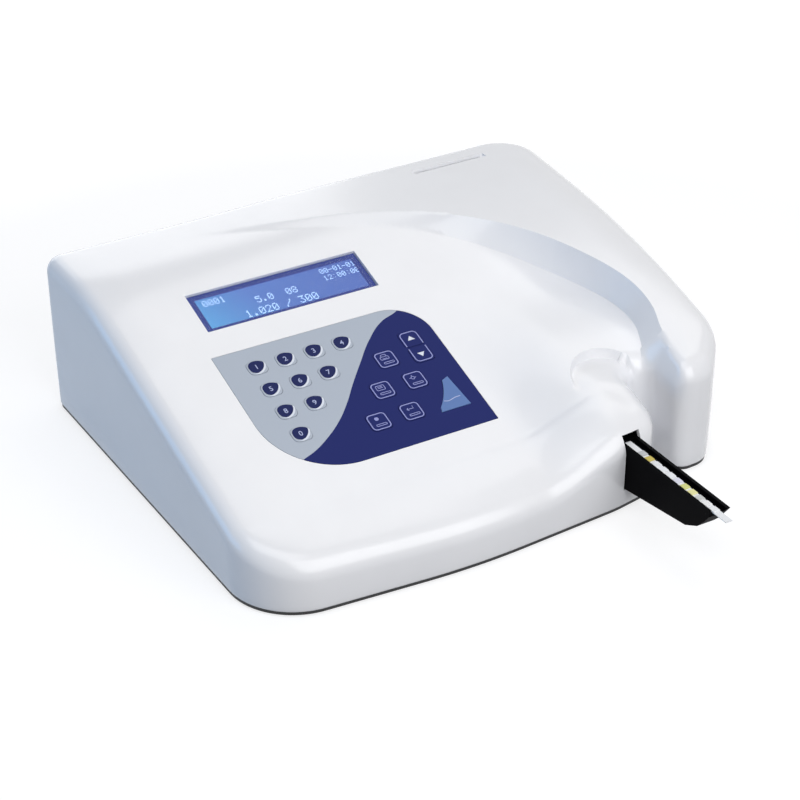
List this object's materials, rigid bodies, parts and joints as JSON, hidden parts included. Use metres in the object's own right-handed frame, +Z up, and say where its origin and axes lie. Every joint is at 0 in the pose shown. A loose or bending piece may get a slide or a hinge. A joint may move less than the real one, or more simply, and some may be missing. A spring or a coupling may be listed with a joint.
{
  "type": "urine analyzer",
  "caption": "Desk-top urine strip analyzer with a sloped display and keypad, a strip tray that slides into a rounded nose, a paper printer and rear sockets.",
  "frame": {"origin": "middle of the whole on the table, with the tray drawn out", "axes": "+X to the right as seen from the front, +Y to the rear, +Z up"},
  "size_m": [0.3869, 0.427, 0.1221],
  "materials": {
    "white_plastic": "glossy moulded",
    "black_base": "fine matt texture",
    "tray_black": "satin",
    "rubber": "matt",
    "steel": "plain",
    "window": "clear",
    "display_blue": "lit",
    "circuit_board": "lacquered",
    "chips": "matt",
    "overlay_navy": "satin film",
    "membrane": "film",
    "strip_white": "satin",
    "reagent": "matt absorbent",
    "nylon": "satin",
    "motor_metal": "zinc plated",
    "grey_plastic": "satin",
    "black_plastic": "moulded",
    "paper": "matt",
    "lens": "clear",
    "brass": "turned"
  },
  "bodies": {
    "housing": {"base_plate": "black_base", "board_parts": "chips", "board_screws": "steel", "cover_screws": "steel", "display_board": "circuit_board", "display_glass": "display_blue", "display_window": "window", "door_hinge_pin": "steel", "head_bracket": "steel", "head_lens": "lens", "home_sensor": "black_plastic", "keypad_membrane": "membrane", "keypad_overlay": "overlay_navy", "main_board": "circuit_board", "motor_bracket": "steel", "optical_head": "black_plastic", "paper_tear_bar": "steel", "power_inlet": "black_plastic", "power_supply": "steel", "power_switch": "black_plastic", "print_head": "steel", "printer_frame": "grey_plastic", "printer_motor": "motor_metal", "rear_panel": "grey_plastic", "rubber_feet": "rubber", "serial_port": "steel", "top_cover": "white_plastic", "tray_guide": "grey_plastic", "tray_motor": "motor_metal"},
    "tray": {"strip_tray": "tray_black", "test_strip": "strip_white", "strip_pads": "reagent", "tray_rack": "nylon"},
    "drive": {"motor_shaft": "steel", "drive_pinion": "brass"},
    "platen": {"platen_roller": "rubber", "platen_gear": "nylon"},
    "feed_motor": {"printer_pinion": "brass"},
    "paper": {"paper_roll": "paper", "paper_spindle": "nylon"},
    "door": {"printer_door": "white_plastic"},
    "rocker": {"power_rocker": "black_plastic"},
    "button_1": {"key_1": "overlay_navy"},
    "button_2": {"key_2": "overlay_navy"},
    "button_3": {"key_3": "overlay_navy"},
    "button_4": {"key_4": "overlay_navy"},
    "button_5": {"key_5": "overlay_navy"},
    "button_6": {"key_6": "overlay_navy"},
    "button_7": {"key_7": "overlay_navy"},
    "button_8": {"key_8": "overlay_navy"},
    "button_9": {"key_9": "overlay_navy"},
    "button_0": {"key_0": "overlay_navy"},
    "button_print": {"key_print": "overlay_navy"},
    "button_menu": {"key_menu": "overlay_navy"},
    "button_line": {"key_line": "overlay_navy"},
    "button_clear": {"key_clear": "overlay_navy"},
    "button_enter": {"key_enter": "overlay_navy"},
    "button_up": {"key_up": "overlay_navy"},
    "button_down": {"key_down": "overlay_navy"},
    "button_start": {"key_start": "overlay_navy"}
  },
  "joints": [
    {"name": "tray_slide", "type": "slide", "parent": "housing", "child": "tray", "axis": [0, 1, 0], "range_m": [0, 0.095]},
    {"name": "pinion_spin", "type": "hinge", "parent": "housing", "child": "drive", "pos_m": [0.0983, 0.01252, 0.035], "axis": [0, 0, 1], "range_deg": [-1000, 1000]},
    {"name": "platen_spin", "type": "hinge", "parent": "housing", "child": "platen", "pos_m": [0.12055, 0.18302, 0.098], "axis": [1, 0, 0], "continuous": true},
    {"name": "feed_pinion_spin", "type": "hinge", "parent": "housing", "child": "feed_motor", "pos_m": [0.12055, 0.18302, 0.08505], "axis": [1, 0, 0], "continuous": true},
    {"name": "paper_spin", "type": "hinge", "parent": "housing", "child": "paper", "pos_m": [0.12055, 0.18052, 0.054], "axis": [1, 0, 0], "continuous": true},
    {"name": "door_hinge", "type": "hinge", "parent": "housing", "child": "door", "pos_m": [0.12055, 0.21112, 0.0274], "axis": [-1, 0, 0], "range_deg": [0, 100]},
    {"name": "rocker_tilt", "type": "hinge", "parent": "housing", "child": "rocker", "pos_m": [-0.09145, 0.2081, 0.037], "axis": [1, 0, 0], "range_deg": [-16, 0]},
    {"name": "key_1_press", "type": "slide", "parent": "housing", "child": "button_1", "axis": [0, 0.3056, -0.9521], "range_m": [0, 0.0004], "stiffness_N_per_m": 400},
    {"name": "key_2_press", "type": "slide", "parent": "housing", "child": "button_2", "axis": [0, 0.3056, -0.9521], "range_m": [0, 0.0004], "stiffness_N_per_m": 400},
    {"name": "key_3_press", "type": "slide", "parent": "housing", "child": "button_3", "axis": [0, 0.3056, -0.9521], "range_m": [0, 0.0004], "stiffness_N_per_m": 400},
    {"name": "key_4_press", "type": "slide", "parent": "housing", "child": "button_4", "axis": [0, 0.3056, -0.9521], "range_m": [0, 0.0004], "stiffness_N_per_m": 400},
    {"name": "key_5_press", "type": "slide", "parent": "housing", "child": "button_5", "axis": [0, 0.3056, -0.9521], "range_m": [0, 0.0004], "stiffness_N_per_m": 400},
    {"name": "key_6_press", "type": "slide", "parent": "housing", "child": "button_6", "axis": [0, 0.3056, -0.9521], "range_m": [0, 0.0004], "stiffness_N_per_m": 400},
    {"name": "key_7_press", "type": "slide", "parent": "housing", "child": "button_7", "axis": [0, 0.3056, -0.9521], "range_m": [0, 0.0004], "stiffness_N_per_m": 400},
    {"name": "key_8_press", "type": "slide", "parent": "housing", "child": "button_8", "axis": [0, 0.3056, -0.9521], "range_m": [0, 0.0004], "stiffness_N_per_m": 400},
    {"name": "key_9_press", "type": "slide", "parent": "housing", "child": "button_9", "axis": [0, 0.3056, -0.9521], "range_m": [0, 0.0004], "stiffness_N_per_m": 400},
    {"name": "key_0_press", "type": "slide", "parent": "housing", "child": "button_0", "axis": [0, 0.3056, -0.9521], "range_m": [0, 0.0004], "stiffness_N_per_m": 400},
    {"name": "key_print_press", "type": "slide", "parent": "housing", "child": "button_print", "axis": [0, 0.3056, -0.9521], "range_m": [0, 0.0004], "stiffness_N_per_m": 400},
    {"name": "key_menu_press", "type": "slide", "parent": "housing", "child": "button_menu", "axis": [0, 0.3056, -0.9521], "range_m": [0, 0.0004], "stiffness_N_per_m": 400},
    {"name": "key_line_press", "type": "slide", "parent": "housing", "child": "button_line", "axis": [0, 0.3056, -0.9521], "range_m": [0, 0.0004], "stiffness_N_per_m": 400},
    {"name": "key_clear_press", "type": "slide", "parent": "housing", "child": "button_clear", "axis": [0, 0.3056, -0.9521], "range_m": [0, 0.0004], "stiffness_N_per_m": 400},
    {"name": "key_enter_press", "type": "slide", "parent": "housing", "child": "button_enter", "axis": [0, 0.3056, -0.9521], "range_m": [0, 0.0004], "stiffness_N_per_m": 400},
    {"name": "key_up_press", "type": "slide", "parent": "housing", "child": "button_up", "axis": [0, 0.3056, -0.9521], "range_m": [0, 0.0004], "stiffness_N_per_m": 400},
    {"name": "key_down_press", "type": "slide", "parent": "housing", "child": "button_down", "axis": [0, 0.3056, -0.9521], "range_m": [0, 0.0004], "stiffness_N_per_m": 400},
    {"name": "key_start_press", "type": "slide", "parent": "housing", "child": "button_start", "axis": [0, 0.3056, -0.9521], "range_m": [0, 0.0004], "stiffness_N_per_m": 400}
  ],
  "couplings": [
    {"joint": "pinion_spin", "follows": "tray_slide", "rad_per_m": -142.86},
    {"joint": "feed_pinion_spin", "follows": "platen_spin", "ratio": -1.6667},
    {"joint": "paper_spin", "follows": "platen_spin", "ratio": -0.27778}
  ]
}
